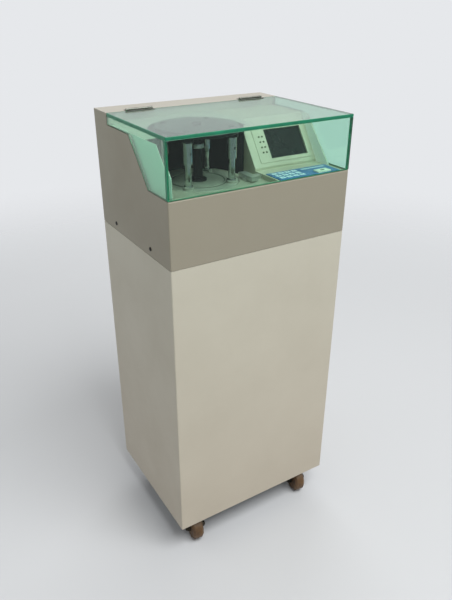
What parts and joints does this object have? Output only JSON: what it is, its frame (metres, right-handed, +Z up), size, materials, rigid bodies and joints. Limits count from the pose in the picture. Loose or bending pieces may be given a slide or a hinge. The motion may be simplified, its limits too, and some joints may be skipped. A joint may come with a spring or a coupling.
{
  "type": "floor-standing banknote counter",
  "caption": "Floor-standing vacuum note counter: steel cabinet on castors, hinged clear cover over a turning suction head with chrome spindles, tilted console and keypad.",
  "frame": {"origin": "on the floor under the middle of the cabinet", "axes": "+Z up, the front faces -Y, +X is the right-hand side seen from the front"},
  "size_m": [0.441, 0.346, 1.043],
  "materials": {
    "lower_paint": "satin powder coat, pale warm grey",
    "upper_paint": "satin powder coat, darker warm grey",
    "zinc_sheet": "zinc-plated sheet",
    "deck_paint": "satin enamel, pale warm grey",
    "screw_steel": "dark plated steel",
    "cream_plastic": "fine-grained moulding, cream",
    "black_plastic": "fine-grained moulding, black",
    "display": "smoked window",
    "lamp": "dark lenses",
    "keypad_blue": "printed membrane, blue with pale keys",
    "start_cap": "pale key cap",
    "acrylic": "clear acrylic with a green tint, dark green edges",
    "hinge_steel": "dull steel",
    "chrome": "polished",
    "polished_steel": "turned face",
    "head_black": "black, satin",
    "machined_steel": "machined",
    "cast_grey": "as cast",
    "pulley_alloy": "turned",
    "black_rubber": "matte",
    "motor_paint": "dark grey enamel",
    "pump_iron": "cast, blue-grey enamel",
    "pipe_plastic": "rigid tube, grey",
    "filter_plastic": "moulded canister, grey",
    "supply_metal": "folded sheet case",
    "board_green": "circuit board",
    "castor_zinc": "dark plated steel",
    "castor_brown": "brown tread"
  },
  "bodies": {
    "cabinet": {"base_pan": "zinc_sheet", "lower_cabinet": "lower_paint", "middle_frame": "zinc_sheet", "upper_housing": "upper_paint", "rear_top_cover": "upper_paint", "housing_screws": "screw_steel", "deck_plate": "deck_paint", "deck_pillars": "machined_steel", "bay_surround": "cream_plastic", "counting_hood": "black_plastic", "console_housing": "cream_plastic", "display_window": "display", "indicator_lamps": "lamp", "keypad_panel": "keypad_blue", "cover_hinge_fixed_leaves": "hinge_steel", "cover_hinge_pins": "hinge_steel", "sun_gear": "machined_steel", "bearing_housing": "cast_grey", "head_bearings": "machined_steel", "rotary_union": "pulley_alloy", "head_motor": "motor_paint", "drive_belt": "black_rubber", "clamp_rail": "machined_steel", "pump_feet": "black_rubber", "pump_motor": "motor_paint", "vacuum_pump": "pump_iron", "inlet_filter": "filter_plastic", "vacuum_pipe": "pipe_plastic", "power_supply": "supply_metal", "control_board": "board_green", "power_inlet": "black_plastic", "door_hinge_pins": "zinc_sheet", "castor_plates": "castor_zinc"},
    "cover": {"cover_top": "acrylic", "cover_front": "acrylic", "cover_sides": "acrylic", "cover_hinge_moving_leaves": "hinge_steel"},
    "head": {"head_disc": "polished_steel", "head_hub": "head_black", "head_cap": "head_black", "head_shaft": "machined_steel", "head_pulley": "pulley_alloy"},
    "motor_rotor": {"motor_pulley": "pulley_alloy"},
    "clamp": {"clamp_jaw": "machined_steel"},
    "service_door": {"rear_door": "lower_paint"},
    "lock": {"door_lock": "chrome"},
    "rocker": {"rocker_switch": "black_plastic"},
    "start_button": {"start_key": "start_cap"},
    "suction_spindle_1": {"spindle_1": "chrome"},
    "fork_1": {"castor_fork_1": "castor_zinc"},
    "wheel_1": {"castor_wheel_1": "castor_brown"},
    "suction_spindle_2": {"spindle_2": "chrome"},
    "fork_2": {"castor_fork_2": "castor_zinc"},
    "wheel_2": {"castor_wheel_2": "castor_brown"},
    "suction_spindle_3": {"spindle_3": "chrome"},
    "fork_3": {"castor_fork_3": "castor_zinc"},
    "wheel_3": {"castor_wheel_3": "castor_brown"},
    "suction_spindle_4": {"spindle_4": "chrome"},
    "fork_4": {"castor_fork_4": "castor_zinc"},
    "wheel_4": {"castor_wheel_4": "castor_brown"}
  },
  "joints": [
    {"name": "cover_hinge", "type": "hinge", "parent": "cabinet", "child": "cover", "pos_m": [0, 0.10225, 1.0407], "axis": [-1, 0, 0], "range_deg": [0, 105]},
    {"name": "head_spin", "type": "hinge", "parent": "cabinet", "child": "head", "pos_m": [-0.082, -0.04, 0.911], "axis": [0, 0, 1], "continuous": true},
    {"name": "motor_spin", "type": "hinge", "parent": "cabinet", "child": "motor_rotor", "pos_m": [-0.082, 0.075, 0.825], "axis": [0, 0, 1], "continuous": true},
    {"name": "clamp_slide", "type": "slide", "parent": "cabinet", "child": "clamp", "axis": [1, 0, 0], "range_m": [0, 0.018]},
    {"name": "rear_door_hinge", "type": "hinge", "parent": "cabinet", "child": "service_door", "pos_m": [-0.186, 0.164, 0.4565], "axis": [0, 0, 1], "range_deg": [0, 100]},
    {"name": "door_lock_turn", "type": "hinge", "parent": "service_door", "child": "lock", "pos_m": [0.167, 0.16, 0.4565], "axis": [0, -1, 0], "range_deg": [0, 90]},
    {"name": "rocker_tilt", "type": "hinge", "parent": "cabinet", "child": "rocker", "pos_m": [0.159, 0.1655, 0.151], "axis": [-1, 0, 0], "range_deg": [0, 16]},
    {"name": "start_key_press", "type": "slide", "parent": "cabinet", "child": "start_button", "axis": [0, 0, -1], "range_m": [0, 0.001], "stiffness_N_per_m": 800},
    {"name": "spindle_1_spin", "type": "hinge", "parent": "head", "child": "suction_spindle_1", "pos_m": [-0.03109, 0.01091, 0.911], "axis": [0, 0, 1], "continuous": true},
    {"name": "spindle_2_spin", "type": "hinge", "parent": "head", "child": "suction_spindle_2", "pos_m": [-0.13291, 0.01091, 0.911], "axis": [0, 0, 1], "continuous": true},
    {"name": "spindle_3_spin", "type": "hinge", "parent": "head", "child": "suction_spindle_3", "pos_m": [-0.13291, -0.09091, 0.911], "axis": [0, 0, 1], "continuous": true},
    {"name": "spindle_4_spin", "type": "hinge", "parent": "head", "child": "suction_spindle_4", "pos_m": [-0.03109, -0.09091, 0.911], "axis": [0, 0, 1], "continuous": true},
    {"name": "castor_swivel_1", "type": "hinge", "parent": "cabinet", "child": "fork_1", "pos_m": [-0.163, -0.1185, 0.07], "axis": [0, 0, 1], "continuous": true},
    {"name": "castor_roll_1", "type": "hinge", "parent": "fork_1", "child": "wheel_1", "pos_m": [-0.16606, -0.14029, 0.0315], "axis": [0.9903, -0.1392, 0], "continuous": true},
    {"name": "castor_swivel_2", "type": "hinge", "parent": "cabinet", "child": "fork_2", "pos_m": [0.163, -0.1185, 0.07], "axis": [0, 0, 1], "continuous": true},
    {"name": "castor_roll_2", "type": "hinge", "parent": "fork_2", "child": "wheel_2", "pos_m": [0.15994, -0.14029, 0.0315], "axis": [0.9903, -0.1392, 0], "continuous": true},
    {"name": "castor_swivel_3", "type": "hinge", "parent": "cabinet", "child": "fork_3", "pos_m": [-0.163, 0.1185, 0.07], "axis": [0, 0, 1], "continuous": true},
    {"name": "castor_roll_3", "type": "hinge", "parent": "fork_3", "child": "wheel_3", "pos_m": [-0.16606, 0.09671, 0.0315], "axis": [0.9903, -0.1392, 0], "continuous": true},
    {"name": "castor_swivel_4", "type": "hinge", "parent": "cabinet", "child": "fork_4", "pos_m": [0.163, 0.1185, 0.07], "axis": [0, 0, 1], "continuous": true},
    {"name": "castor_roll_4", "type": "hinge", "parent": "fork_4", "child": "wheel_4", "pos_m": [0.15994, 0.09671, 0.0315], "axis": [0.9903, -0.1392, 0], "continuous": true}
  ],
  "couplings": [
    {"joint": "motor_spin", "follows": "head_spin", "ratio": 2},
    {"joint": "spindle_1_spin", "follows": "head_spin", "ratio": 3},
    {"joint": "spindle_2_spin", "follows": "head_spin", "ratio": 3},
    {"joint": "spindle_3_spin", "follows": "head_spin", "ratio": 3},
    {"joint": "spindle_4_spin", "follows": "head_spin", "ratio": 3}
  ]
}
